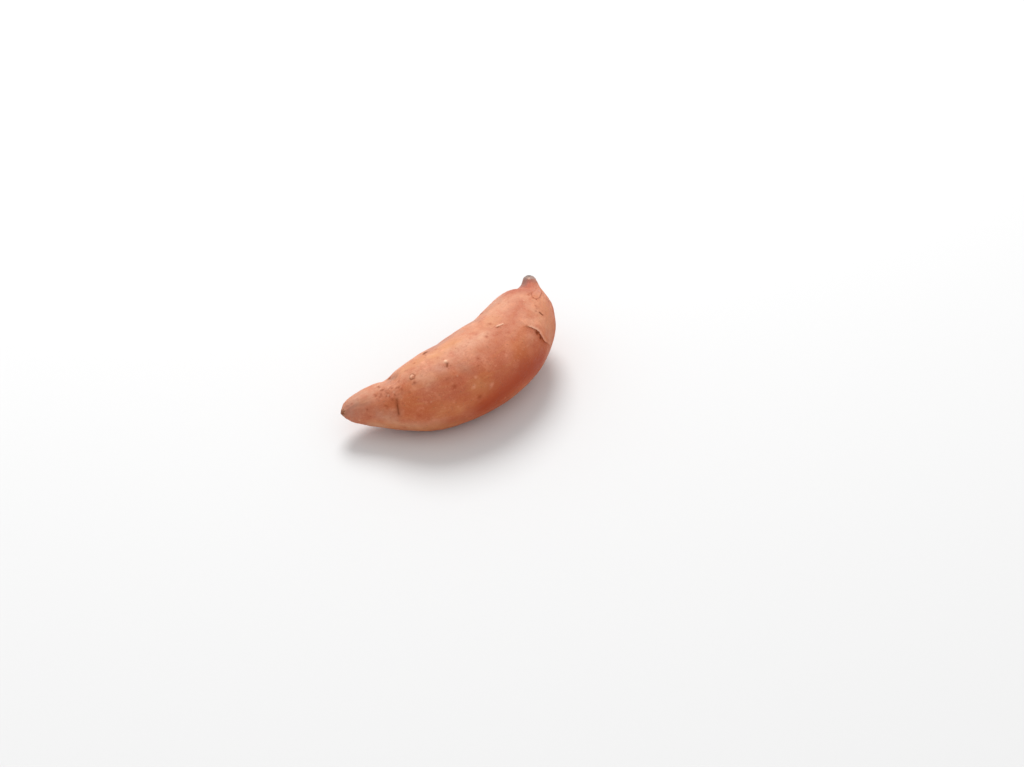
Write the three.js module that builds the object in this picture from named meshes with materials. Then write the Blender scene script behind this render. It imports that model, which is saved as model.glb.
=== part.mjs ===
// A sweet potato, one solid storage root, lying on its side on a table.
// Millimetres, +Z up. The root tip points to -X and the stem end to +X. Z = 0 is the table.
import * as THREE from "three";
import { mergeVertices } from "three/addons/utils/BufferGeometryUtils.js";

// The root's centre line and thickness, from the root tip to the stem nub. Each station is
// [x, y, height of the centre, half the width, half the height].
const STATIONS = [
  [-95, 31, 22, 5, 4.5],
  [-89, 29, 22, 8.2, 8.2],
  [-80, 25, 22.5, 12.5, 12.5],
  [-66.5, 18, 23, 17.5, 17],
  [-54, 10, 25, 22.5, 22.5],
  [-39, 1.5, 28, 28, 28],
  [-17.5, -4.5, 30.5, 31, 30.5],
  [6.5, -5.5, 31.5, 32.5, 32],
  [31, -2.5, 31.5, 31.5, 31.5],
  [52.5, 6, 33, 29.5, 30],
  [69, 15, 35.5, 25.5, 25.5],
  [79.5, 21.5, 38, 19.5, 20],
  [86.5, 27.5, 41.5, 12, 12],
  [90, 31.5, 44.5, 7.5, 7.5],
  [92, 34.2, 47.5, 5.4, 5.4],
  [93.7, 36.4, 51, 4, 4],
];
const TIP_CAP = 6; // length of the rounding at the root tip
const NUB_CAP = 3; // length of the rounding on the nub, where the stem was broken off
const FLAT_DEPTH = 0.8; // how much of the underside is pressed flat by the table

const AROUND = 64; // faces round the root
const ALONG = 84; // rings of faces from tip to nub
const END_CROWDING = 0.45; // how much closer together the rings are at the two ends

// Low ribs that run along the root and wander round it. They fade out towards both ends.
const RIB_FADE = 0.7;
const RIBS = [
  { count: 2, height: 0.5, twist: 0.012, start: 0.6 },
  { count: 3, height: 0.7, twist: -0.016, start: 2.1 },
  { count: 5, height: 0.35, twist: 0.03, start: 4.0 },
];

// Swells above the skin and hollows in it. Each follows a line of points on the skin, or sits at
// one point, and fades out over its reach. A hollow has a height below zero.
const RELIEF = [
  // the step in the back where the thin root end meets the belly
  { along: [[-57, 27, 34], [-57, 22.5, 40], [-61, 14, 44]], reach: 5, height: -2.6 },
  { along: [[-44, 14, 50.5]], reach: 12, height: 0.7 },
  // the long hollow in the back, and the shoulder beside the nub
  { along: [[-24, 10, 57], [-14, 12, 57.5]], reach: 9, height: -0.5 },
  { along: [[60, 19, 60], [70, 21, 57.5]], reach: 8, height: 0.9 },
  // low swells in the back and under the thin end
  { along: [[14, 14, 57]], reach: 9, height: 0.6 },
  { along: [[-73, -1, 13], [-62, -13, 12]], reach: 9, height: 0.9 },
  // the soft ridge between the top and the front of the belly
  { along: [[-46, -7, 54], [-30, -18, 55], [-12, -24, 56]], reach: 7, height: 0.8 },
  // a fold of skin near the stem end: a lip, and the crease that it hangs over
  { along: [[45, -16, 58], [51, -20, 53.5], [53, -24, 47], [57, -25, 40]], reach: 3.4, height: 1.1 },
  { along: [[41, -19, 57], [46, -24, 52.5], [48, -28, 46], [51, -28, 40]], reach: 3, height: -0.9 },
  // a round scar under the nub, and a nick below that
  { along: [[74, 9, 57.5]], reach: 4, height: -0.7 },
  { along: [[59.5, -10.5, 57], [62, -13.5, 54.5]], reach: 2, height: -0.5 },
  // a slit across the thin end
  { along: [[-69, 0, 38], [-70, -5, 32], [-70, -6, 27.5]], reach: 2.2, height: -0.7 },
  // warts beside root scars on the belly and at its start
  { along: [[-29.5, -10.5, 58.5]], reach: 2.2, height: 0.8 },
  { along: [[-53.5, 0.5, 51.5]], reach: 2.6, height: 0.8 },
  // the knot where the tail root broke off
  { along: [[-96, 28.5, 23.5]], reach: 3, height: 1.4 },
];

// Scars of side roots, short hollows across the root, in rows along its back and underside.
const SCAR_ROWS = [-1.5, -0.8, -0.15, 0.5]; // angles round the root, 0 at the back, in radians
const SCARS_IN_ROW = 6;
const SCAR = { halfAngle: 0.07, reach: 2.8, height: -0.7, wander: 0.25 };
const SCAR_SEED = 11;

const UP = new THREE.Vector3(0, 0, 1);
const SMALL_STEP = 0.5; // for measuring which way the centre line runs

// The running length at each station, measured along straight lines between them.
const RUN = [0];
for (let i = 1; i < STATIONS.length; i++) {
  const here = new THREE.Vector3(...STATIONS[i].slice(0, 3));
  const before = new THREE.Vector3(...STATIONS[i - 1].slice(0, 3));
  RUN.push(RUN[i - 1] + here.distanceTo(before));
}
const LENGTH = RUN[RUN.length - 1];

// How fast a column of the stations changes at station i.
function slopeAt(column, i) {
  const steps = [];
  const spans = [];
  for (const [a, b] of [[i - 1, i], [i, i + 1]]) {
    if (a < 0 || b >= STATIONS.length) continue;
    spans.push(RUN[b] - RUN[a]);
    steps.push((STATIONS[b][column] - STATIONS[a][column]) / (RUN[b] - RUN[a]));
  }
  if (steps.length === 1) return steps[0];
  return (steps[0] * spans[1] + steps[1] * spans[0]) / (spans[0] + spans[1]);
}

// A column of the stations at any running length, on a smooth cubic through them all.
function columnAt(column, run) {
  let i = 0;
  while (i < STATIONS.length - 2 && run > RUN[i + 1]) i++;
  const span = RUN[i + 1] - RUN[i];
  const t = (run - RUN[i]) / span;
  const from = STATIONS[i][column];
  const to = STATIONS[i + 1][column];
  return (
    from * (1 - t) * (1 - t) * (1 + 2 * t) +
    slopeAt(column, i) * span * t * (1 - t) * (1 - t) +
    to * t * t * (3 - 2 * t) -
    slopeAt(column, i + 1) * span * t * t * (1 - t)
  );
}

function centreAt(run) {
  return new THREE.Vector3(columnAt(0, run), columnAt(1, run), columnAt(2, run));
}

function directionAt(run) {
  const from = centreAt(Math.max(0, run - SMALL_STEP));
  return centreAt(Math.min(LENGTH, run + SMALL_STEP)).sub(from).normalize();
}

// Rounds an end off: 0 at the very end, 1 from the cap's length on.
function capAt(distance, length) {
  const left = 1 - Math.min(1, distance / length);
  return Math.sqrt(1 - left * left);
}

// How far the ribs stand out at a running length and an angle round the root.
function ribsAt(run, angle) {
  const fade = Math.sin((Math.PI * run) / LENGTH) ** RIB_FADE;
  let height = 0;
  for (const rib of RIBS) {
    height += rib.height * Math.sin(rib.count * angle + rib.twist * run + rib.start);
  }
  return height * fade;
}

// The surface without relief, at a running length and an angle from the back over the top.
function bodyAt(run, angle) {
  const cap = capAt(run, TIP_CAP) * capAt(LENGTH - run, NUB_CAP);
  const along = directionAt(run);
  const side = new THREE.Vector3().crossVectors(UP, along).normalize();
  const over = new THREE.Vector3().crossVectors(along, side);
  const ribs = ribsAt(run, angle);
  const wide = (columnAt(3, run) + ribs) * cap * Math.cos(angle);
  const high = (columnAt(4, run) + ribs) * cap * Math.sin(angle);
  return centreAt(run).addScaledVector(side, wide).addScaledVector(over, high);
}

// The side-root scars, as relief. Their places along a row and round the root wander a little.
function scarRelief() {
  THREE.MathUtils.seededRandom(SCAR_SEED);
  const wander = () => (THREE.MathUtils.seededRandom() - 0.5) * SCAR.wander;
  const scars = [];
  for (const row of SCAR_ROWS) {
    for (let i = 0; i < SCARS_IN_ROW; i++) {
      const run = LENGTH * ((i + 1 + wander()) / (SCARS_IN_ROW + 1));
      const angle = row + wander();
      const along = [];
      for (const turn of [-SCAR.halfAngle, SCAR.halfAngle]) {
        along.push(bodyAt(run, angle + turn).toArray());
      }
      scars.push({ along, reach: SCAR.reach, height: SCAR.height });
    }
  }
  return scars;
}

// How far all the relief lifts or sinks a point of the skin.
function reliefAt(point, relief) {
  const nearest = new THREE.Vector3();
  let lift = 0;
  for (const mark of relief) {
    const stops = mark.along.map((stop) => new THREE.Vector3(...stop));
    let gap = stops[0].distanceTo(point);
    for (let i = 1; i < stops.length; i++) {
      new THREE.Line3(stops[i - 1], stops[i]).closestPointToPoint(point, true, nearest);
      gap = Math.min(gap, nearest.distanceTo(point));
    }
    lift += mark.height * Math.exp(-((gap / mark.reach) ** 2));
  }
  return lift;
}

// A unit ball whose rings become the rings of the root. What would sink into the table
// is flattened, which leaves the small flat spot that the root rests on.
function makeRoot() {
  const relief = [...RELIEF, ...scarRelief()];
  const ball = new THREE.SphereGeometry(1, AROUND, ALONG);
  ball.deleteAttribute("normal");
  ball.deleteAttribute("uv");
  const geometry = mergeVertices(ball);
  const places = geometry.getAttribute("position");
  const point = new THREE.Vector3();
  for (let i = 0; i < places.count; i++) {
    point.fromBufferAttribute(places, i);
    const share = Math.acos(THREE.MathUtils.clamp(point.y, -1, 1)) / Math.PI;
    const crowding = (END_CROWDING * Math.sin(2 * Math.PI * share)) / (2 * Math.PI);
    const run = LENGTH * (share - crowding);
    const placed = bodyAt(run, Math.atan2(point.z, point.x));
    const core = centreAt(THREE.MathUtils.clamp(run, TIP_CAP, LENGTH - NUB_CAP));
    const outward = placed.clone().sub(core).normalize();
    placed.addScaledVector(outward, reliefAt(placed, relief));
    places.setXYZ(i, placed.x, placed.y, Math.max(0, placed.z - FLAT_DEPTH));
  }
  geometry.computeBoundingBox();
  const middle = geometry.boundingBox.getCenter(new THREE.Vector3());
  geometry.translate(-middle.x, -middle.y, 0);
  geometry.computeVertexNormals();
  return geometry;
}

const skin = new THREE.MeshStandardMaterial({ color: 0xc8785a, roughness: 0.55, metalness: 0 });

const root = new THREE.Mesh(makeRoot(), skin);
root.name = "sweet_potato";

const part = new THREE.Group();
part.add(root);

export default part;
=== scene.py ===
import math
import random

import bpy
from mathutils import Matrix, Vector, kdtree, noise
from mathutils.geometry import intersect_point_line


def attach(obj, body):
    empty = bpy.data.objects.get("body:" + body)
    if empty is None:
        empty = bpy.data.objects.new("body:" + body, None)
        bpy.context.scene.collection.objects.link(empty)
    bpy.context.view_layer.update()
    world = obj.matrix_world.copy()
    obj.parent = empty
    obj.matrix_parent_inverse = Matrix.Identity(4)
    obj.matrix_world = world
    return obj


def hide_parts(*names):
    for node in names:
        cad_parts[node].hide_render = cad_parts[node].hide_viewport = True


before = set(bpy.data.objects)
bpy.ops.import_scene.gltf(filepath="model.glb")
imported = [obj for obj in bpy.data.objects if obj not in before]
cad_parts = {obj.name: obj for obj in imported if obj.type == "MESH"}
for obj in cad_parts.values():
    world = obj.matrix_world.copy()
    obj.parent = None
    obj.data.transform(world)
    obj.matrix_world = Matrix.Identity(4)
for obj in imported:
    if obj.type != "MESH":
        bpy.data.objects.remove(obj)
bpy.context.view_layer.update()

MM = 0.001

# Places and lengths are in millimetres, in the frame of the solid part: the root tip points to
# -X, the stem end to +X, and the table is at Z = 0. A place or a line on the skin is taken to
# the nearest point of the skin, so it only has to be about right.

# The root's centre line from the tip to the nub.
CENTRE_LINE = [
    (-96, 30, 21),
    (-81, 24, 22),
    (-67, 17, 22),
    (-55, 9, 24),
    (-40, 1, 27),
    (-18, -5, 30),
    (6, -6, 31),
    (30, -3, 31),
    (52, 5, 32),
    (68, 14, 35),
    (79, 21, 37),
    (87, 28, 41),
    (93, 35, 50),
]

# The skin's mesh: how often the solid's faces are halved, how close to a fine mark they are
# halved once more, how close loose points are when they are merged, and the most that the skin
# is raised or sunk.
HALVINGS = 2
FINE_REACH = 3.5
WELD_GAP = 0.01
MOST_LIFT = 3

# Chance shapes the tip's pits, the scars of side roots and the pores.
SEED = 4

# How far paint goes and the size of the bumps in its edge, both in reaches of its mark, and how
# rough a ragged edge is.
PAINT_ENDS = 2.6
EDGE_BUMPS = 1.5
RAGGED = 0.9

# Low swells all over the skin: their length along the root, width round it and height. Each
# kind is shifted against the one before, in lengths of its own.
SWELLS = [(34, 15, 0.5), (16, 7, 0.2), (6, 3.2, 0.09), (2.6, 1.8, 0.05)]
SWELL_SHIFT = 5
# Wrinkles that run along the two ends. They begin and are in full at these distances from the
# root's middle.
WRINKLE = {"length": 42, "width": 3.4, "height": 0.3, "from": 35, "to": 85}

# The fold near the stem end: its edge, the way that the lip hangs over, and the widths, heights and
# paint of the crease and of the lip above it. The crease's flush is painted shade under the lip,
# and the lip's salmon rim and scuff are a painted highlight. Places along the fold are shares of
# its length: where it begins, grows weaker, opens in full and has its painted highlight. Its edge
# wanders a little, in bumps.
LIP_EDGE = [
    (44.5, -19, 56.5),
    (45.5, -19.5, 56),
    (47, -20.5, 54.5),
    (49, -22, 53),
    (50, -23.5, 51.5),
    (50, -25, 50),
    (50.5, -26, 48),
    (52.5, -27, 43.5),
    (58, -25.5, 36),
]
LIP_OVERHANG = Vector((-0.9, 0.25, -0.5))
FOLD_REACH = 9
FOLD_BEGINS = (-0.12, 0.06)
FOLD_WEAKENS = (0.4, 1)
FOLD_WEAKENING = 0.6
FOLD_WANDER = 0.3
FOLD_BUMPS = 2.6
CREASE_OPENS = (0.1, 0.4)
CREASE_START = 0.3
LIP_HIGHLIGHTED = (0.5, 0.1)
CREASE = {"width": 2.3, "height": -0.9, "flush_and_shade": 3.4, "soil": 0.9, "most soil": 0.08}
LIP = {"width": 3.8, "height": 0.75, "rim": 1.6, "salmon_and_highlight": 1.7, "scuff_and_highlight": 1, "most highlight": 0.7}
# Two small sunk spots in the crease, darkened with soil and flush colour: place and reach.
CREASE_DARK_SPOTS = [((47.5, -23, 51.5), 1.4), ((49, -25.5, 47.5), 1.1)]

# A cut or a pit has a low rim and a flush round it. Their widths are in widths of the cut or
# pit, and the rim's height is in depths of it. Dirt lies in it.
CUT = {"rim": 2.6, "rim height": 0.35, "flush_and_shade": 3, "most flush": 0.4}
PIT = {"rim": 2, "rim height": 0.3, "flush_and_shade": 2.2, "most flush": 0.5}
DIRT_WIDTH = 0.8

# The marks of the side that faces the camera.
SLIT = [(-68, -0.5, 38), (-69, -2, 35), (-69.5, -3.5, 31.5), (-70, -4.5, 28)]
SLASH = [(62.5, -10, 55.5), (63.5, -12, 53.5)]
FLAKE = [(22, -7, 61), (24.5, -7, 61), (27.5, -7.5, 61)]
# Where the painted shade under the flake's edge lies, from the flake.
FLAKE_SHADE = Vector((-0.9, -1.1, -0.1))
ROUND_SCAR = [
    (73.5, 11, 57),
    (72.5, 10, 57.5),
    (70, 6, 58),
    (69.5, 4.5, 58),
    (70.5, 2.5, 57),
    (75, 3.5, 55.5),
    (79.5, 7, 54),
    (84, 11, 51.5),
]
RING = [
    (-54.5, 1, 51),
    (-52.5, 2, 51.5),
    (-51.5, 1, 52),
    (-51.5, -2, 52.5),
    (-53, -3, 51),
    (-55, -1.5, 50),
    (-55, -0.5, 50),
    (-54.5, 1, 51),
]
RING_SHINE = Vector((-0.2, 0.8, 0))
RING_SHADE = Vector((0.9, -1, 0.3))
SMALL_RING = (-54.5, -5, 49.5)
WART = (-29.5, -10, 58)
WART_PIT = [(-30, -12.5, 58), (-31.5, -14, 57)]
BACK_FLECK = [(-31, 13, 52), (-28.5, 13.5, 52)]
BACK_SCRATCH = [(-30, 13.5, 52), (-33, 8.5, 54.5)]
NUB_CHIP = (89, 31.5, 51)
TIP_PITS = [
    (-75.5, 15.5, 36.5),
    (-73, 12, 37),
    (-69, 19, 38.5),
    (-69.5, 14, 39),
    (-68.5, 10.5, 40),
    (-69.5, 8.5, 39.5),
    (-66, 10, 41.5),
    (-65.5, 8, 42),
    (-71, 7.5, 38),
    (-63.5, 4, 44),
    (-59.5, 7.5, 46),
    (-62.5, 0, 44),
    (-67, 2.5, 40.5),
    (-70, 5.5, 38.5),
    (-69.5, 2.5, 37.5),
    (-74, 4, 32.5),
]
# What chance may give one pit at the tip: half its length, width, height and paint.
TIP_PIT = {
    "half x": (-0.6, 1.3),
    "half y": (-1.2, 0.6),
    "width": (0.4, 0.9),
    "height": (-0.3, 0.1),
    "soil": (0.15, 0.4),
    "scuff_and_highlight": (0, 0.4),
}
# Where the painted highlight beside each pit lies, from the pit's start.
TIP_PIT_SHINE = Vector((0.5, 1.5, 0.6))
# Pale and brown spots: place and reach.
PALE_SPOTS = [
    ((-23, -33, 45), 1.4),
    ((-9.5, -37, 42), 1.8),
    ((-19, -30.5, 50), 0.8),
    ((-40.5, 3, 55.5), 1.5),
    ((-43.5, -3.5, 55.5), 1.3),
    ((-22.5, 2.5, 58), 1.5),
    ((11, -29, 53), 1),
]
BROWN_SPOTS = [
    ((-35, -26, 48), 1.2),
    ((-20.5, -36.5, 36), 1.5),
    ((8.5, -11, 61.5), 1.1),
    ((-9.5, -22.5, 57.5), 1.3),
    ((-43.5, 9, 53), 0.8),
    ((20.5, -1.5, 61.5), 1.2),
    ((87, 14.5, 49.5), 1),
]
# The notch in the back where the thin end meets the belly.
NOTCH = [(-57, 14.7, 44), (-57.5, 20, 40), (-57, 25, 36)]
# Wide dents and swells: line, reach and height.
DENTS = [
    (NOTCH, 3.5, -0.9),
    ([(-40, -12, 55.5), (-34, -19, 54.5)], 4, 0.4),
    ([(-27, -19, 56.5), (-25, -24, 54)], 4.5, -0.6),
]

# Scars of side roots, in rows along the root at these angles from the back over the top, in
# degrees. Chance leaves some out and gives the others their place, length, width and depth.
ROOT_SCARS = {
    "rows": (-115, -75, -40, -8, 28),
    "places": range(-72, 76, 15),
    "left out": 0.3,
    "drift": (-5, 5),
    "turn": (-14, 14),
    "half angle": (2.5, 8),
    "bend": (-0.5, 0.5),
    "width": (0.5, 0.9),
    "depth": (0.25, 0.6),
    "soil": (0.35, 0.9),
}
# Pits all over the skin. One in every so many is a pale speck that stands up instead.
PORES = {
    "count": 170,
    "places": (-90, 84),
    "width": (0.35, 0.75),
    "depth": (0.08, 0.25),
    "soil": (0.1, 0.5),
    "speck every": 7,
    "speck width": 1.6,
    "speck height": 0.2,
    "speck scuff": 0.35,
}

# The nub: its middle, the way it points and how far from its middle it is painted. Its parts
# begin and are in full at these heights along its axis.
NUB = Vector((92, 31.5, 50.2))
NUB_AXIS = Vector((0.4, 0.5, 0.77))
NUB_REACH = 16
NUB_BANDS = {
    "violet": (-11, -6),
    "stretch": (-9, 1),
    "dark flank": (-8, -5),
    "grey": (-4.6, -2.5),
    "callus": (-1.8, -0.6),
    "rough": (-1.5, 0.5),
    "cracks": (-1, 0.5),
    "ash": (0.5, 1.5),
}
# How far the nub is drawn out.
NUB_STRETCH = {"X": 0.6, "Z": 1}
# The nub's edges wander, in bumps. Its top is cracked and rough, with ash in the cracks.
NUB_WANDER = 0.6
NUB_BUMPS = 2.5
CRACKS = {"size": 2, "thinness": 5, "depth": 0.5, "ash": 0.6}
NUB_ROUGH = {"size": 1.1, "height": 0.3}
# The side of the nub's neck that is stained, where the stains begin and are in full, how violet
# the other side is and how much ash is on the stained one.
STAINED_SIDE = Vector((-0.74, 0.67, 0))
VIOLET_ASIDE = (-1, 3)
ASH_ASIDE = (2.5, 5)
LEAST_VIOLET = 0.3
FLANK_ASH = 0.5

# The knot at the root tip: its middle, how far it goes and fades, and its height and paint. Its
# lumps, crumbs and dirt each have a size and an amount.
TIP = Vector((-95.5, 28, 23.5))
TIP_REACH = 8
KNOT = {"reach": 2.8, "height": 0.9, "brown": 0.8}
KNOT_LUMPS = {"size": 1.4, "height": 1.1}
KNOT_CRUMBS = {"size": 0.7, "height": 0.5}
KNOT_DIRT = {"size": 1.2, "amount": 0.6, "share": 0.7, "from": 0.45, "to": 0.9}

# The side of the root that faces the lamp, painted paler as a painted sheen: where the sheen begins
# and is in full as the skin turns towards that side, and how its edge wanders.
LIT_SIDE = Vector((0.3, 0.5, 0.81))
SHEEN_FACING = (0.1, 0.9)
SHEEN_WANDER = 0.1
SHEEN_BUMPS = 9

# Wide stretches of other colour on the skin, by layer: line, reach and amount.
STRETCHES = {
    "red_and_shade": [
        # The first two red stretches, low on the front flank, are partly the root's own redder
        # colour and partly painted shade.
        ([(-14, -36, 25), (5, -38, 31), (20, -36, 34), (42, -32, 32)], 14, 1),
        ([(-40, -28, 18), (-15, -36, 18)], 8, 0.4),
        ([(-64, -8, 30), (-55, -17, 31), (-50, -20, 36)], 6, 0.3),
        ([(-35, -28, 41), (-25, -33, 38)], 6, 0.2),
        ([(-20, -36.5, 37.5), (3, -38, 39.7)], 6, 0.35),
        ([(84, 26, 50), (75, 18, 57), (60, 20, 58)], 8, 0.6),
        ([(67, 16, 59), (76, 14, 56), (82, 13, 53)], 5, 0.25),
        ([(68, 24, 58), (79, 29, 50)], 6, 0.4),
        ([(55, 5, 61), (40, -6, 60.5), (20, -17, 59.5), (6, -24, 57)], 9, 0.32),
        ([(-10, 28, 18), (45, 36, 22)], 18, 0.5),
    ],
    "flush_and_shade": [
        ([(-74, 14, 38), (-58, 6, 48)], 7, 0.3),
    ],
    "violet": [
        ([(-22, 16, 50.7), (-7, 17.5, 51.2)], 3, 0.6),
        ([(67, 17, 59), (76, 15, 56), (82, 14, 53)], 5, 0.4),
        ([(68, 24, 58), (79, 29, 50)], 6, 0.7),
    ],
    "tan": [
        ([(-80, 8, 14), (-58, -16, 14), (-38, -26, 14)], 7, 0.7),
        ([(-48, -25, 33), (-35, -32, 29), (-27, -34, 29)], 7, 0.45),
        ([(-20, -34, 44), (-13, -36, 40)], 6, 0.6),
        ([(-48, 12, 49), (-38, 8, 54)], 6, 0.7),
        ([(-31, 2, 57), (-23, 4, 57), (-14, 2, 59)], 6, 0.9),
        ([(14, -2, 62), (26, 2, 62)], 6, 0.5),
        ([(72, -9, 50), (66, -17, 46), (62, -23, 39)], 8, 0.5),
        ([(-18, 30, 34), (14, 30, 42)], 9, 0.7),
    ],
    "grey": [
        ([(-95, 26, 24), (-86, 22, 29)], 11, 0.75),
        ([(-80, 7, 27), (-72, -2, 27)], 6, 0.5),
        ([(-62, 16, 39.5), (-58, 19, 40)], 3.5, 0.6),
        ([(-36, -12, 56), (-26, -20, 56), (-20, -25, 55)], 5, 0.4),
    ],
    "rub": [
        ([(-84, 12, 14), (-78, 6, 14)], 4, 0.8),
        ([(-76, 2, 22), (-66, -9, 17), (-57, -19, 20), (-46, -26, 22)], 5, 0.6),
        ([(-84, 21, 33), (-73, 12, 37), (-66, 3, 41)], 6, 0.55),
        ([(-71, 18, 38), (-81, 22.5, 34)], 4.5, 0.45),
        ([(-66.5, 1.5, 41)], 4, 0.8),
        ([(-54, 5, 50), (-52, -3, 51), (-47, -12, 51)], 6, 0.85),
        ([(-31, 5, 56), (-24, 3, 58)], 4.5, 0.4),
        ([(-18.5, -10, 59.5)], 4, 0.7),
        ([(-18.5, -1, 59.5)], 4, 0.5),
        ([(-11, -6, 60.5), (-3, -8, 61)], 4.5, 1),
        ([(2, -8, 61.5), (8.5, -8, 61.5)], 4, 1),
        ([(30, 32, 40), (10, 34, 34)], 7, 0.8),
        ([(30, 10, 61), (42, 10, 61)], 5, 0.45),
        ([(44, 12, 61), (56, 14, 61)], 6, 0.7),
        ([(45, -23, 52), (38, -27, 52)], 5, 0.5),
        ([(47.5, -17, 57.5)], 3.5, 0.5),
        ([(48, -10, 59), (58, -15, 54), (60, -19, 49)], 7, 0.45),
        ([(57, -8, 57), (60, -10, 56.5)], 4.5, 0.7),
    ],
    "salmon_and_highlight": [
        ([(-55, 7, 49)], 3.5, 0.12),
        ([(10.5, -31.5, 52)], 5, 0.13),
        ([(33.5, -31.5, 47)], 4, 0.12),
        ([(76, -9, 46), (68, -14, 47), (62, -21, 42)], 6, 0.15),
    ],
    "brown": [
        (NOTCH, 2, 0.5),
    ],
}
# Grey patches with ragged edges along the back: line, reach and amount.
BACK_PATCHES = [
    ([(-27, 13, 52.5), (-12, 14, 53.5), (0, 14, 55)], 3.5, 0.7),
    ([(13, 14, 56), (21, 15, 56.5)], 4, 0.75),
    ([(32, 18, 57), (45, 21, 57.5), (58, 22, 58.5)], 3.8, 0.6),
]


def clamp(value):
    return min(1, max(0, value))


def ease(value, low, high):
    """Goes smoothly from 0 to 1 as the value goes from low to high."""
    share = clamp((value - low) / (high - low))
    return share * share * (3 - 2 * share)


def fading(gap, reach):
    """1 at a mark, and almost nothing at twice its reach."""
    return math.exp(-((gap / reach) ** 2))


def uneven(point, size, seed=0):
    """Soft noise from -1 to 1, with bumps of about that size."""
    return noise.noise(point / size + Vector((seed, seed * 1.7, -seed)))


def centre_at(x):
    """The centre line's point at a place along the root."""
    for before, after in zip(CENTRE_LINE, CENTRE_LINE[1:]):
        if x <= after[0]:
            break
    share = clamp((x - before[0]) / (after[0] - before[0]))
    return Vector(before).lerp(Vector(after), share)


def straightened(point):
    """Where a point of the skin would be if the root were straight."""
    centre = centre_at(point.x)
    return Vector((point.x, point.y - centre.y, point.z - centre.z))


def only(piece):
    """Makes one object the active one and the only one selected."""
    bpy.ops.object.select_all(action="DESELECT")
    piece.select_set(True)
    bpy.context.view_layer.objects.active = piece


class Canvas:
    """Layers of values painted on the points of a mesh."""

    def __init__(self, piece):
        self.piece = piece
        self.points = [vertex.co / MM for vertex in piece.data.vertices]
        self.normals = [vertex.normal.copy() for vertex in piece.data.vertices]
        self.layers = {}
        self.tree = kdtree.KDTree(len(self.points))
        for index, point in enumerate(self.points):
            self.tree.insert(point, index)
        self.tree.balance()

    def layer(self, name):
        if name not in self.layers:
            self.layers[name] = [0.0] * len(self.points)
        return self.layers[name]

    def add(self, name, index, value):
        self.layer(name)[index] += value

    def raise_to(self, name, index, value):
        values = self.layer(name)
        values[index] = max(values[index], value)

    def near(self, line, reach):
        """The points near a line on the skin: {index: (distance, side, share of the line)}.
        The side is 1 on the right of the line as seen from outside, and -1 on its left."""
        stops = [self.piece.closest_point_on_mesh(Vector(place) * MM)[1] / MM for place in line]
        if len(stops) == 1:
            return {i: (gap, 0, 0) for _, i, gap in self.tree.find_range(stops[0], reach)}
        spans = list(zip(stops, stops[1:]))
        whole = sum((b - a).length for a, b in spans)
        run = 0
        found = {}
        for a, b in spans:
            length = (b - a).length
            for point, index, _ in self.tree.find_range((a + b) / 2, length / 2 + reach):
                share = clamp(intersect_point_line(point, a, b)[1])
                away = point - a.lerp(b, share)
                if away.length < found.get(index, (reach,))[0]:
                    side = 1 if away.dot((b - a).cross(self.normals[index])) > 0 else -1
                    found[index] = (away.length, side, (run + share * length) / whole)
            run += length
        return found

    def spread(self, line, reach, rough):
        """The points near a line and how strongly they take part, with a ragged edge."""
        for index, (gap, _, _) in self.near(line, reach * PAINT_ENDS).items():
            bumps = uneven(self.points[index], reach * EDGE_BUMPS)
            yield index, fading(gap * (1 + rough * bumps), reach)

    def lift(self, line, reach, height, rough=0.25):
        """Raises or sinks the skin along a line or round a place."""
        for index, share in self.spread(line, reach, rough):
            self.add("lift", index, height * share)

    def stain(self, name, line, reach, amount=1, rough=0.35):
        """Paints a layer along a line or round a place."""
        for index, share in self.spread(line, reach, rough):
            self.raise_to(name, index, amount * share)

    def from_inside(self, x, angle):
        """Where a ray from the centre line comes out. Angle 0 points to the back, 90 up."""
        out = Vector((0, math.cos(math.radians(angle)), math.sin(math.radians(angle))))
        middle = centre_at(x)
        hit, place, _, _ = self.piece.ray_cast(middle * MM, out)
        return place / MM if hit else self.tree.find(middle)[0]


def hollow(canvas, kind, line, width, depth, soil):
    """A cut or a pit, its low rim, the dirt in it and the flush round it."""
    canvas.lift(line, width, -depth)
    canvas.lift(line, width * kind["rim"], depth * kind["rim height"])
    canvas.stain("soil", line, width * DIRT_WIDTH, soil)
    canvas.stain("flush_and_shade", line, width * kind["flush_and_shade"], kind["most flush"])


def groove(canvas, line, width, depth, soil):
    hollow(canvas, CUT, line, width, depth, soil)


def pit(canvas, place, width, depth, soil):
    hollow(canvas, PIT, [place], width, depth, soil)


def add_swells(canvas):
    """The slight unevenness of the whole skin, and the wrinkles of both ends."""
    for index, point in enumerate(canvas.points):
        place = straightened(point)
        height = 0
        for number, (length, width, swell) in enumerate(SWELLS):
            shifted = place.x / length + SWELL_SHIFT * number
            where = Vector((shifted, place.y / width, place.z / width))
            height += swell * noise.noise(where)
        width = WRINKLE["width"]
        where = Vector((place.x / WRINKLE["length"], place.y / width, place.z / width))
        ends = ease(abs(point.x), WRINKLE["from"], WRINKLE["to"])
        height += WRINKLE["height"] * ends * (0.5 - 2 * abs(noise.noise(where)))
        canvas.add("lift", index, height)


def add_crease(canvas, index, gap, strength):
    """One point of the crease, on the belly's side of the fold's edge."""
    canvas.add("lift", index, CREASE["height"] * strength * fading(gap, CREASE["width"]))
    # Painted shade under the overhanging lip: the crease is darkened with the flush colour.
    canvas.raise_to("flush_and_shade", index, strength * fading(gap, CREASE["flush_and_shade"]))
    canvas.raise_to("soil", index, CREASE["most soil"] * strength * fading(gap, CREASE["soil"]))


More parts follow.
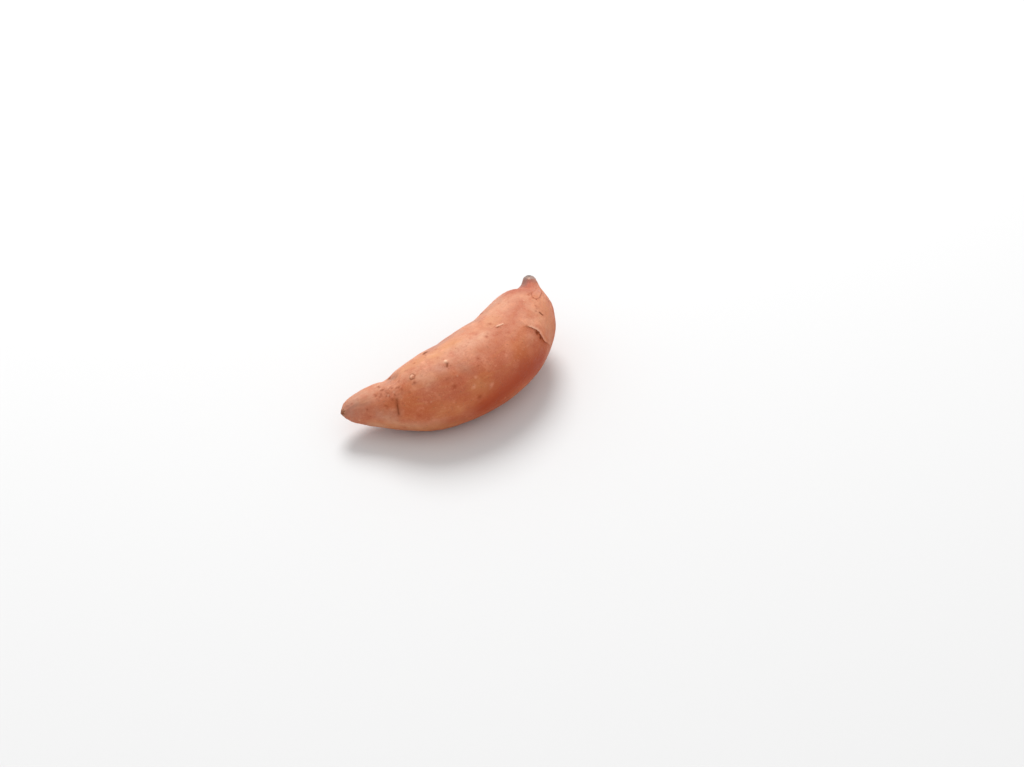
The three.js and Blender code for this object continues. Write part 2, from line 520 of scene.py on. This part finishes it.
def add_lip(canvas, index, gap, strength, share):
    """One point of the lip, on the stem's side of the fold's edge. Its rim is painted salmon and
    pale as a painted highlight, palest at its upper end."""
    lit_upper_end = LIP["most highlight"] * ease(share, *LIP_HIGHLIGHTED)
    canvas.add("lift", index, LIP["height"] * strength * fading(gap, LIP["width"]))
    canvas.raise_to("lip", index, strength * fading(gap, LIP["rim"]))
    # The rim's salmon and scuff colours are a painted highlight.
    canvas.raise_to("salmon_and_highlight", index, (1 - 0.5 * share) * strength * fading(gap, LIP["salmon_and_highlight"]))
    canvas.raise_to("scuff_and_highlight", index, lit_upper_end * strength * fading(gap, LIP["scuff_and_highlight"]))


def add_fold(canvas):
    """The fold near the stem end, where the skin of the stem side hangs over the belly's. It
    begins softly and grows weaker towards its lower end."""
    for index, (gap, side, share) in canvas.near(LIP_EDGE, FOLD_REACH).items():
        strength = ease(share, *FOLD_BEGINS) * (1 - FOLD_WEAKENING * ease(share, *FOLD_WEAKENS))
        gap = max(0, gap + FOLD_WANDER * uneven(canvas.points[index], FOLD_BUMPS))
        if side > 0:
            opening = CREASE_START + (1 - CREASE_START) * ease(share, *CREASE_OPENS)
            add_crease(canvas, index, gap, strength * opening)
        else:
            add_lip(canvas, index, gap, strength, share)
    for place, reach in CREASE_DARK_SPOTS:
        canvas.lift([place], reach, height=-0.4)
        canvas.stain("soil", [place], reach, amount=0.75)
        canvas.stain("flush_and_shade", [place], reach * 2)


def add_slit(canvas):
    """The dirty slit across the thin end, darker below."""
    groove(canvas, SLIT, width=0.9, depth=0.6, soil=0.45)
    canvas.stain("soil", SLIT[1:], reach=0.8, amount=0.65)
    canvas.stain("soil", SLIT, reach=1.7, amount=0.3)
    canvas.stain("flush_and_shade", SLIT, reach=3, amount=0.5)


def add_stem_end_marks(canvas):
    """The slash, the round scar and the flake of loose skin near the stem end."""
    groove(canvas, SLASH, width=0.75, depth=0.5, soil=0.9)
    groove(canvas, ROUND_SCAR, width=0.45, depth=0.3, soil=0.35)
    for place in (ROUND_SCAR[3], ROUND_SCAR[4]):
        pit(canvas, place, width=0.8, depth=0.2, soil=0.7)
    canvas.lift(FLAKE, reach=0.8, height=0.6, rough=RAGGED)
    canvas.stain("scuff_and_highlight", FLAKE, reach=0.55, amount=0.9, rough=RAGGED)
    # Painted shade under the flake's edge: a shallow groove darkened with soil and flush colour.
    shade = [Vector(place) + FLAKE_SHADE for place in FLAKE[:2]]
    groove(canvas, shade, width=0.5, depth=0.3, soil=0.4)


def add_rings(canvas):
    """The ring-shaped scar at the start of the belly, and the small one beside it."""
    middle = sum((Vector(place) for place in RING[1:]), Vector()) / len(RING[1:])
    canvas.lift([middle], reach=2.2, height=0.45)
    canvas.lift(RING, reach=0.5, height=-0.25)
    canvas.stain("soil", RING, reach=0.5, amount=0.4, rough=RAGGED)
    # A painted highlight on the side of the raised middle towards the lamp, and painted shade on
    # its other side.
    canvas.stain("scuff_and_highlight", [middle + RING_SHINE], reach=0.9, amount=0.7, rough=RAGGED)
    canvas.stain("flush_and_shade", [middle + RING_SHADE], reach=1)
    canvas.lift([SMALL_RING], reach=1.5, height=0.35)
    canvas.stain("soil", [SMALL_RING], reach=1.1, amount=0.4)
    canvas.stain("flush_and_shade", [SMALL_RING], reach=2.2, amount=0.7)


def add_wart(canvas):
    """The pale wart on the belly, and the pit beside it."""
    canvas.lift([WART], reach=1.4, height=0.9)
    canvas.stain("scuff_and_highlight", [WART], reach=1.4)
    groove(canvas, WART_PIT, width=0.9, depth=0.5, soil=0.7)


def add_tip_pits(canvas, draw):
    """The cluster of short pits with dirt in them, where the thin end meets the belly."""
    for place in TIP_PITS:
        half = Vector((draw.uniform(*TIP_PIT["half x"]), draw.uniform(*TIP_PIT["half y"]), 0))
        line = [Vector(place) - half, Vector(place) + half]
        width = draw.uniform(*TIP_PIT["width"])
        canvas.lift(line, width, draw.uniform(*TIP_PIT["height"]), rough=0.6)
        canvas.stain("soil", line, width, draw.uniform(*TIP_PIT["soil"]), rough=RAGGED)
        canvas.stain("flush_and_shade", line, width * 2.5, amount=0.7, rough=0.7)
        # A painted highlight beside the pit.
        shine = [line[0] + TIP_PIT_SHINE]
        canvas.stain("scuff_and_highlight", shine, 0.8, draw.uniform(*TIP_PIT["scuff_and_highlight"]), rough=0.7)


def add_dents_and_spots(canvas):
    """The wide dents and swells, the fleck on the back, and the pale and the brown spots."""
    for line, reach, height in DENTS:
        canvas.lift(line, reach, height)
    canvas.stain("soil", BACK_FLECK, reach=1.25, amount=0.85, rough=0.7)
    canvas.stain("soil", BACK_SCRATCH, reach=0.5, amount=0.35)
    for place, reach in PALE_SPOTS:
        canvas.stain("salmon_and_highlight", [place], reach, amount=0.35, rough=0.6)
    for place, reach in BROWN_SPOTS:
        canvas.stain("flush_and_shade", [place], reach * 1.5, amount=0.8)
        canvas.stain("soil", [place], reach, amount=0.3)


def add_root_scars(canvas, draw):
    """Short cuts across the root where side roots were, in rows on its back and underside."""
    for row in ROOT_SCARS["rows"]:
        for x in ROOT_SCARS["places"]:
            if draw.random() < ROOT_SCARS["left out"]:
                continue
            middle = x + draw.uniform(*ROOT_SCARS["drift"])
            angle = row + draw.uniform(*ROOT_SCARS["turn"])
            half = draw.uniform(*ROOT_SCARS["half angle"])
            line = []
            for turn in (-half, 0, half):
                bent = middle + draw.uniform(*ROOT_SCARS["bend"])
                line.append(canvas.from_inside(bent, angle + turn))
            width = draw.uniform(*ROOT_SCARS["width"])
            depth = draw.uniform(*ROOT_SCARS["depth"])
            groove(canvas, line, width, depth, soil=draw.uniform(*ROOT_SCARS["soil"]))


def add_pores(canvas, draw):
    """Small pits and specks scattered all over the skin."""
    for number in range(PORES["count"]):
        place = canvas.from_inside(draw.uniform(*PORES["places"]), draw.uniform(0, 360))
        width = draw.uniform(*PORES["width"])
        if number % PORES["speck every"] == 0:
            canvas.lift([place], width * PORES["speck width"], PORES["speck height"])
            canvas.stain("scuff_and_highlight", [place], width, PORES["speck scuff"])
        else:
            depth = draw.uniform(*PORES["depth"])
            pit(canvas, place, width, depth, soil=draw.uniform(*PORES["soil"]))


def add_nub(canvas):
    """The nub's pale cap with a cracked, ashy top, where the stem broke off, and its neck,
    which is violet and darker on one side."""
    axis = NUB_AXIS.normalized()
    for index, point in enumerate(canvas.points):
        away = point - NUB
        if away.length > NUB_REACH:
            continue
        height = away.dot(axis) + NUB_WANDER * uneven(point, NUB_BUMPS)
        aside = away.dot(STAINED_SIDE)
        band = {name: ease(height, *limits) for name, limits in NUB_BANDS.items()}
        for name in ("stretch", "callus", "ash", "grey"):
            canvas.raise_to(name, index, band[name])
        violet = LEAST_VIOLET + (1 - LEAST_VIOLET) * ease(aside, *VIOLET_ASIDE)
        canvas.raise_to("violet", index, band["violet"] * violet)
        canvas.raise_to("ash", index, FLANK_ASH * band["dark flank"] * ease(aside, *ASH_ASIDE))
        crack = (1 - abs(uneven(point, CRACKS["size"], seed=3))) ** CRACKS["thinness"]
        rough = NUB_ROUGH["height"] * uneven(point, NUB_ROUGH["size"], seed=5)
        canvas.add("lift", index, (rough - CRACKS["depth"] * crack) * band["rough"])
        canvas.raise_to("ash", index, CRACKS["ash"] * crack * band["cracks"])
    canvas.stain("scuff_and_highlight", [NUB_CHIP], reach=0.8, amount=0.7)


def add_knot(canvas):
    """The rough brown end where the tail root broke off."""
    for index, point in enumerate(canvas.points):
        gap = (point - TIP).length
        if gap > TIP_REACH:
            continue
        share = fading(gap, KNOT["reach"])
        lumps = KNOT_LUMPS["height"] * uneven(point, KNOT_LUMPS["size"], seed=2)
        crumbs = KNOT_CRUMBS["height"] * uneven(point, KNOT_CRUMBS["size"], seed=4)
        canvas.add("lift", index, share * (KNOT["height"] + lumps + crumbs))
        canvas.raise_to("brown", index, KNOT["brown"] * share)
        dirty = share * (KNOT_DIRT["share"] + uneven(point, KNOT_DIRT["size"], seed=9))
        dirty = ease(dirty, KNOT_DIRT["from"], KNOT_DIRT["to"])
        canvas.raise_to("soil", index, KNOT_DIRT["amount"] * dirty)


def paint_stretches(canvas):
    """The side towards the lamp painted paler as a painted sheen, and the wide stretches of other
    colour that the skin's material reads, some of them partly painted shade.
    """
    for index, normal in enumerate(canvas.normals):
        wander = SHEEN_WANDER * uneven(canvas.points[index], SHEEN_BUMPS)
        facing = normal.dot(LIT_SIDE) + wander
        # A painted sheen: the paler colour is laid on as the skin turns towards the lamp.
        canvas.raise_to("lit_side_sheen", index, ease(facing, *SHEEN_FACING))
    for name, stretches in STRETCHES.items():
        for line, reach, amount in stretches:
            canvas.stain(name, line, reach, amount)
    for line, reach, amount in BACK_PATCHES:
        canvas.stain("grey", line, reach, amount, rough=RAGGED)


def displace(canvas, name, values, strength, direction):
    """Moves the points by painted values, by way of a weight group and a Displace modifier."""
    piece = canvas.piece
    group = piece.vertex_groups.new(name=name)
    for index, value in enumerate(values):
        if value > 0:
            group.add([index], clamp(value), "REPLACE")
    only(piece)
    bpy.ops.object.modifier_add(type="DISPLACE")
    modifier = piece.modifiers[-1]
    modifier.direction = direction
    modifier.mid_level = 0
    modifier.vertex_group = name
    modifier.strength = strength * MM


def shape_skin(canvas):
    """Raises and sinks the skin as painted, hangs the fold over and draws the nub out."""
    heights = canvas.layer("lift")
    displace(canvas, "raised", [value / MOST_LIFT for value in heights], MOST_LIFT, "NORMAL")
    displace(canvas, "sunk", [-value / MOST_LIFT for value in heights], -MOST_LIFT, "NORMAL")
    for direction, reach in zip("XYZ", LIP_OVERHANG):
        displace(canvas, "lip " + direction, canvas.layer("lip"), reach, direction)
    for direction, reach in NUB_STRETCH.items():
        displace(canvas, "nub " + direction, canvas.layer("stretch"), reach, direction)
    for modifier in list(canvas.piece.modifiers):
        bpy.ops.object.modifier_apply(modifier=modifier.name)
    canvas.piece.vertex_groups.clear()


def keep_layers(canvas):
    """Writes the layers of colour and the straightened places onto the mesh."""
    attributes = canvas.piece.data.attributes
    for name, values in canvas.layers.items():
        if name not in ("lift", "lip", "stretch"):
            attributes.new(name, "FLOAT", "POINT").data.foreach_set("value", values)
    places = []
    for point in canvas.points:
        places.extend(straightened(point) * MM)
    attributes.new("straight", "FLOAT_VECTOR", "POINT").data.foreach_set("vector", places)


def finer_copy(node):
    """A copy of a solid node with merged points and smaller faces."""
    piece = bpy.data.objects.new("sweet_potato_skin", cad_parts[node].data.copy())
    bpy.context.scene.collection.objects.link(piece)
    only(piece)
    bpy.ops.object.mode_set(mode="EDIT")
    bpy.ops.mesh.select_all(action="SELECT")
    bpy.ops.mesh.remove_doubles(threshold=WELD_GAP * MM)
    bpy.ops.mesh.tris_convert_to_quads()
    bpy.ops.mesh.customdata_custom_splitnormals_clear()
    bpy.ops.object.mode_set(mode="OBJECT")
    bpy.ops.object.modifier_add(type="SUBSURF")
    finer = piece.modifiers[-1]
    finer.levels = HALVINGS
    finer.render_levels = HALVINGS
    bpy.ops.object.modifier_apply(modifier=finer.name)
    bpy.ops.object.shade_smooth()
    return piece


def halve_faces_near(piece, lines, reach):
    """Halves the faces once more where a fine mark needs them."""
    canvas = Canvas(piece)
    chosen = set()
    for line in lines:
        chosen.update(canvas.near(line, reach))
    only(piece)
    bpy.ops.object.mode_set(mode="EDIT")
    bpy.ops.mesh.select_mode(type="FACE")
    bpy.ops.mesh.select_all(action="DESELECT")
    bpy.ops.object.mode_set(mode="OBJECT")
    for face in piece.data.polygons:
        face.select = all(index in chosen for index in face.vertices)
    bpy.ops.object.mode_set(mode="EDIT")
    bpy.ops.mesh.subdivide(number_cuts=1)
    bpy.ops.object.mode_set(mode="OBJECT")


def make_skin():
    """The whole root, as one skin that stands for the solid node."""
    piece = finer_copy("sweet_potato")
    wart = [WART, *WART_PIT]
    fine_lines = [LIP_EDGE, SLIT, SLASH, FLAKE, ROUND_SCAR, RING, [SMALL_RING], wart]
    halve_faces_near(piece, fine_lines, FINE_REACH)
    canvas = Canvas(piece)
    draw = random.Random(SEED)
    add_swells(canvas)
    add_fold(canvas)
    add_slit(canvas)
    add_stem_end_marks(canvas)
    add_rings(canvas)
    add_wart(canvas)
    add_tip_pits(canvas, draw)
    add_dents_and_spots(canvas)
    add_root_scars(canvas, draw)
    add_pores(canvas, draw)
    add_nub(canvas)
    add_knot(canvas)
    paint_stretches(canvas)
    shape_skin(canvas)
    keep_layers(canvas)
    piece.data.materials.clear()
    piece.data.materials.append(skin_material())
    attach(piece, "root")
    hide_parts("sweet_potato")


# The skin's colours.
FLESHY = (0.545, 0.15, 0.055, 1)
ROSE = (0.53, 0.145, 0.07, 1)
# The pale colour of the painted sheen on the side that faces the lamp.
PAINTED_SHEEN = (0.605, 0.28, 0.175, 1)
TAN = (0.60, 0.25, 0.10, 1)
LIGHT = (0.85, 0.35, 0.2, 1)
PALE = (0.72, 0.41, 0.27, 1)
RED = (0.37, 0.045, 0.008, 1)
GREY = (0.39, 0.22, 0.17, 1)
VIOLET = (0.38, 0.16, 0.14, 1)
BROWN = (0.27, 0.13, 0.065, 1)
CALLUS = (0.45, 0.30, 0.26, 1)
ASH = (0.15, 0.12, 0.10, 1)
SALMON_AND_HIGHLIGHT = (0.95, 0.43, 0.28, 1)
SCUFF_AND_HIGHLIGHT = (0.88, 0.54, 0.37, 1)
SOIL = (0.13, 0.03, 0.008, 1)
# Where the noise of a pattern begins to show and shows in full. A vein lies where the noise is
# close to its middle, and only in rosy clouds. The painted sheen of the lit side and the wide coats
# are thinner between blots.
ROSY = (0.35, 0.65)
PATCHY = (0.35, 0.6)
LEAST_PATCHY = 0.6
PORE_EDGE = (0.15, 0.05)
DASH_EDGE = (0.66, 0.76)
VEIN_EDGE = (0.025, 0)
VEIN_CLOUDS = (0.4, 0.6)
# The mottling, from the bottom up: pattern, where it begins and is in full, colour, strength.
MOTTLES = [
    ("streaks", 0.5, 0.8, TAN, 0.45),
    ("blots", 0.52, 0.72, LIGHT, 0.3),
    ("blots", 0.46, 0.3, RED, 0.2),
    ("flecks", 0.55, 0.72, LIGHT, 0.25),
    ("flecks", 0.42, 0.3, RED, 0.2),
    ("grain", 0.5, 0.3, RED, 0.26),
    ("grain", 0.55, 0.72, LIGHT, 0.28),
]
# What is painted over the mottling, from the bottom up: layer, colour and strength.
WIDE_COATS = [
    ("tan", TAN, 0.75),
    ("grey", GREY, 0.75),
    ("violet", VIOLET, 0.75),
    ("rub", PALE, 0.5),
]
MARK_COATS = [
    # The red coat is partly painted shade low on the front flank, the flush coat is partly painted
    # shade in the crease under the lip, and the salmon and scuff coats are partly painted
    # highlights on the lip's rim, the ring and the tip's pits.
    ("red_and_shade", RED, 0.9),
    ("flush_and_shade", RED, 0.5),
    ("brown", BROWN, 0.85),
    ("salmon_and_highlight", SALMON_AND_HIGHLIGHT, 1),
    ("callus", CALLUS, 1),
    ("ash", ASH, 0.9),
    ("scuff_and_highlight", SCUFF_AND_HIGHLIGHT, 1),
]
# The fine marks over those: pattern, colour and strength.
FINE_COATS = [
    ("pores", BROWN, 0.4),
    ("dashes", BROWN, 0.35),
    ("veins", RED, 0.22),
]
# How much each pattern stands out of the skin, and the height of the whole bump.
BUMP_SHARES = {"grain": 0.6, "flecks": 0.8, "dashes": -0.5, "pores": -0.5, "veins": -0.25}
BUMP = {"strength": 0.7, "height": 0.3}
# Roughness of the darker and the lighter blots, and what dirt adds. Dirt dulls the shine, and
# in full where its layer is half as strong as it can be.
ROUGHNESS = (0.45, 0.6)
ROUGH_BLOTS = (0.3, 0.7)
DIRT_ROUGHNESS = 0.3
SHINE = 0.15
DIRT_SHINE = 0.03
DULL_DIRT = 0.5


class Recipe:
    """The nodes of one material."""

    # The sockets of a Mix node that mixes colours.
    MIX_AMOUNT = 0
    MIX_BELOW = 6
    MIX_ABOVE = 7
    MIX_RESULT = 2

    def __init__(self, name):
        self.material = bpy.data.materials.new(name)
        self.material.use_nodes = True
        self.tree = self.material.node_tree
        self.shader = self.tree.nodes["Principled BSDF"]

    def put(self, socket, value):
        """Fills a socket with a number, a colour or another node's output."""
        if isinstance(value, bpy.types.NodeSocket):
            self.tree.links.new(value, socket)
        else:
            socket.default_value = value

    def node(self, kind, **sockets):
        made = self.tree.nodes.new(kind)
        for name, value in sockets.items():
            self.put(made.inputs[name.replace("_", " ")], value)
        return made

    def layer(self, name):
        """A layer painted on the mesh."""
        made = self.node("ShaderNodeAttribute")
        made.attribute_name = name
        return made.outputs["Fac"]

    def along_the_root(self, length, width):
        """Places that follow the root, in steps of a length along it and a width round it."""
        straight = self.node("ShaderNodeAttribute")
        straight.attribute_name = "straight"
        places = straight.outputs["Vector"]
        steps = (1 / (length * MM), 1 / (width * MM), 1 / (width * MM))
        return self.node("ShaderNodeMapping", Vector=places, Scale=steps).outputs[0]

    def noise(self, where, scale=1, detail=3, rough=0.5):
        kind = "ShaderNodeTexNoise"
        return self.node(kind, Vector=where, Scale=scale, Detail=detail, Roughness=rough).outputs[0]

    def ease(self, value, low, high, start=0, end=1):
        """Goes smoothly from start to end as the value goes from low to high."""
        made = self.node("ShaderNodeMapRange", Value=value, From_Min=low, From_Max=high)
        made.inputs["To Min"].default_value = start
        made.inputs["To Max"].default_value = end
        made.interpolation_type = "SMOOTHSTEP"
        return made.outputs[0]

    def reckon(self, operation, *values):
        made = self.node("ShaderNodeMath")
        made.operation = operation
        for socket, value in zip(made.inputs, values):
            self.put(socket, value)
        return made.outputs[0]

    def over(self, below, above, amount, strength=1):
        """One colour laid over another."""
        if strength != 1:
            amount = self.reckon("MULTIPLY", amount, strength)
        made = self.node("ShaderNodeMix")
        made.data_type = "RGBA"
        self.put(made.inputs[self.MIX_AMOUNT], amount)
        self.put(made.inputs[self.MIX_BELOW], below)
        self.put(made.inputs[self.MIX_ABOVE], above)
        return made.outputs[self.MIX_RESULT]


def skin_patterns(skin):
    """The noise patterns of the skin, by name. Some of them follow the root."""
    place = skin.node("ShaderNodeTexCoord").outputs["Object"]
    patterns = {
        "clouds": skin.noise(skin.along_the_root(length=26, width=14)),
        "streaks": skin.noise(skin.along_the_root(length=16, width=2.4), detail=4, rough=0.6),
        "blots": skin.noise(place, scale=120, detail=4, rough=0.55),
        "flecks": skin.noise(place, scale=420, rough=0.6),
        "grain": skin.noise(place, scale=1400, rough=0.7),
    }
    cells = skin.node("ShaderNodeTexVoronoi", Vector=place, Scale=230).outputs["Distance"]
    patterns["pores"] = skin.ease(cells, *PORE_EDGE)
    dashes = skin.noise(skin.along_the_root(length=0.7, width=5), detail=2)
    patterns["dashes"] = skin.ease(dashes, *DASH_EDGE)
    veins = skin.noise(skin.along_the_root(length=9, width=1.9), detail=2, rough=0.6)
    veins = skin.reckon("ABSOLUTE", skin.reckon("SUBTRACT", veins, 0.5))
    rosy = skin.ease(patterns["clouds"], *VEIN_CLOUDS)
    patterns["veins"] = skin.reckon("MULTIPLY", skin.ease(veins, *VEIN_EDGE), rosy)
    return patterns


def skin_colour(skin, patterns):
    """Rose and tan mottled colour, with a painted sheen on the side that faces the lamp, and the
    painted layers and dirt over it.
    """
    patchy = skin.ease(patterns["blots"], *PATCHY, start=LEAST_PATCHY)
    colour = skin.over(FLESHY, ROSE, skin.ease(patterns["clouds"], *ROSY))
    # A painted sheen: the side that faces the lamp is painted paler.
    colour = skin.over(colour, PAINTED_SHEEN, skin.reckon("MULTIPLY", skin.layer("lit_side_sheen"), patchy))
    for name, low, high, other, strength in MOTTLES:
        colour = skin.over(colour, other, skin.ease(patterns[name], low, high), strength)
    for name, other, strength in WIDE_COATS:
        amount = skin.reckon("MULTIPLY", skin.layer(name), patchy)
        colour = skin.over(colour, other, amount, strength)
    for name, other, strength in MARK_COATS:
        colour = skin.over(colour, other, skin.layer(name), strength)
    for name, other, strength in FINE_COATS:
        colour = skin.over(colour, other, patterns[name], strength)
    return skin.over(colour, SOIL, skin.layer("soil"))


def skin_bump(skin, patterns):
    """The fine relief of the patterns."""
    height = None
    for name, share in BUMP_SHARES.items():
        part = skin.reckon("MULTIPLY", patterns[name], share)
        height = part if height is None else skin.reckon("ADD", height, part)
    distance = BUMP["height"] * MM
    bump = skin.node("ShaderNodeBump", Strength=BUMP["strength"], Distance=distance, Height=height)
    return bump.outputs[0]


def skin_material():
    """The dry, faintly shining skin of a root."""
    skin = Recipe("skin")
    patterns = skin_patterns(skin)
    dirt = skin.layer("soil")
    clean = skin.ease(patterns["blots"], *ROUGH_BLOTS, *ROUGHNESS)
    roughness = skin.reckon("ADD", clean, skin.reckon("MULTIPLY", dirt, DIRT_ROUGHNESS))
    shine = skin.ease(dirt, 0, DULL_DIRT, SHINE, DIRT_SHINE)
    skin.put(skin.shader.inputs["Base Color"], skin_colour(skin, patterns))
    skin.put(skin.shader.inputs["Roughness"], roughness)
    skin.put(skin.shader.inputs["Specular IOR Level"], shine)
    skin.put(skin.shader.inputs["Normal"], skin_bump(skin, patterns))
    return skin.material


# The camera looks down on the root from the side of its tip.
CAMERA = {"azimuth": -42, "elevation": 40, "distance": 1044, "lens": 50}
CAMERA_AIM = Vector((11.85, -35.14, 30))

# The floor, the sky and the lamp are in metres.
FLOOR_SIZE = 40
FLOOR_COLOUR = (0.7, 0.7, 0.7, 1)
FLOOR_ROUGHNESS = 0.8
SKY_COLOUR = (1, 1, 1, 1)
SKY_STRENGTH = 0.8
LAMP_TOWARDS = Vector((0.35, 0.53, 0.77))
LAMP = {"distance": 3, "size": 1.6, "energy": 71}


def make_floor():
    bpy.ops.mesh.primitive_plane_add(size=FLOOR_SIZE)
    floor = bpy.context.active_object
    floor.name = "floor"
    paint = Recipe("floor")
    paint.put(paint.shader.inputs["Base Color"], FLOOR_COLOUR)
    paint.put(paint.shader.inputs["Roughness"], FLOOR_ROUGHNESS)
    floor.data.materials.append(paint.material)


def make_light():
    """White light from all round, and a soft lamp high up on the far side."""
    world = bpy.data.worlds.new("studio")
    bpy.context.scene.world = world
    world.use_nodes = True
    background = world.node_tree.nodes["Background"]
    background.inputs["Color"].default_value = SKY_COLOUR
    background.inputs["Strength"].default_value = SKY_STRENGTH
    towards = LAMP_TOWARDS.normalized()
    turn = towards.to_track_quat("Z", "Y").to_euler()
    bpy.ops.object.light_add(type="AREA", location=towards * LAMP["distance"], rotation=turn)
    lamp = bpy.context.active_object.data
    lamp.shape = "DISK"
    lamp.size = LAMP["size"]
    lamp.energy = LAMP["energy"]


def make_camera():
    azimuth = math.radians(CAMERA["azimuth"])
    elevation = math.radians(CAMERA["elevation"])
    back = Vector((math.sin(azimuth), -math.cos(azimuth), math.tan(elevation))).normalized()
    place = (CAMERA_AIM + back * CAMERA["distance"]) * MM
    bpy.ops.object.camera_add(location=place, rotation=(math.pi / 2 - elevation, 0, azimuth))
    camera = bpy.context.active_object
    camera.data.lens = CAMERA["lens"]
    bpy.context.scene.camera = camera


make_skin()
make_floor()
make_light()
make_camera()
bpy.context.scene.view_settings.view_transform = "Standard"
